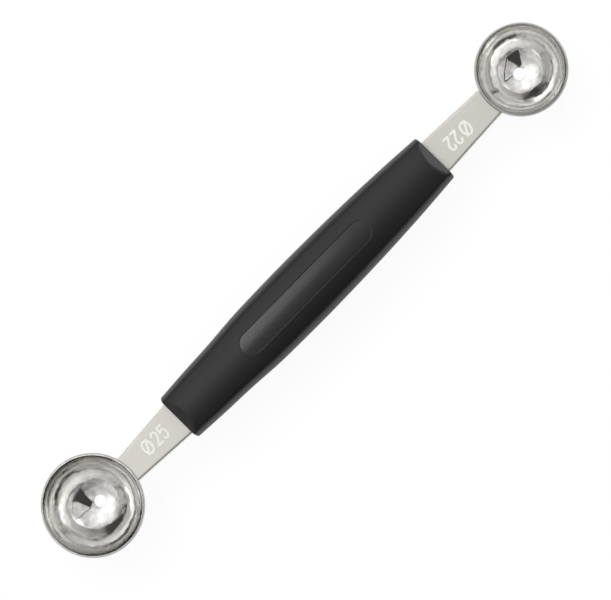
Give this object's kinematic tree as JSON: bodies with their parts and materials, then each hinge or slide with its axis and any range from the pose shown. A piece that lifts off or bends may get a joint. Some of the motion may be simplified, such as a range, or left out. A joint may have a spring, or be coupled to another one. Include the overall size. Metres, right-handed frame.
{
  "type": "melon baller",
  "caption": "Double-ended melon baller with polished steel hemispherical cups of different size on flat tapered necks, and a black moulded grip with a recessed panel between them.",
  "frame": {"origin": "centre of the tool's box in plan, at the level of the lowest point, under the larger cup", "axes": "+X along the tool from the larger cup to the smaller one, +Z the way both cups open, +Y across the tool"},
  "size_m": [0.1758, 0.0262, 0.0168],
  "materials": {
    "polished_steel": "mirror-polished stainless steel",
    "satin_steel": "satin stainless steel strip",
    "black_polypropylene": "fine matt moulded polypropylene"
  },
  "bodies": {
    "root": {"bowl_25": "polished_steel", "bowl_22": "polished_steel", "shank_25": "satin_steel", "shank_22": "satin_steel", "weld_25": "satin_steel", "weld_22": "satin_steel", "handle": "black_polypropylene"}
  },
  "joints": []
}
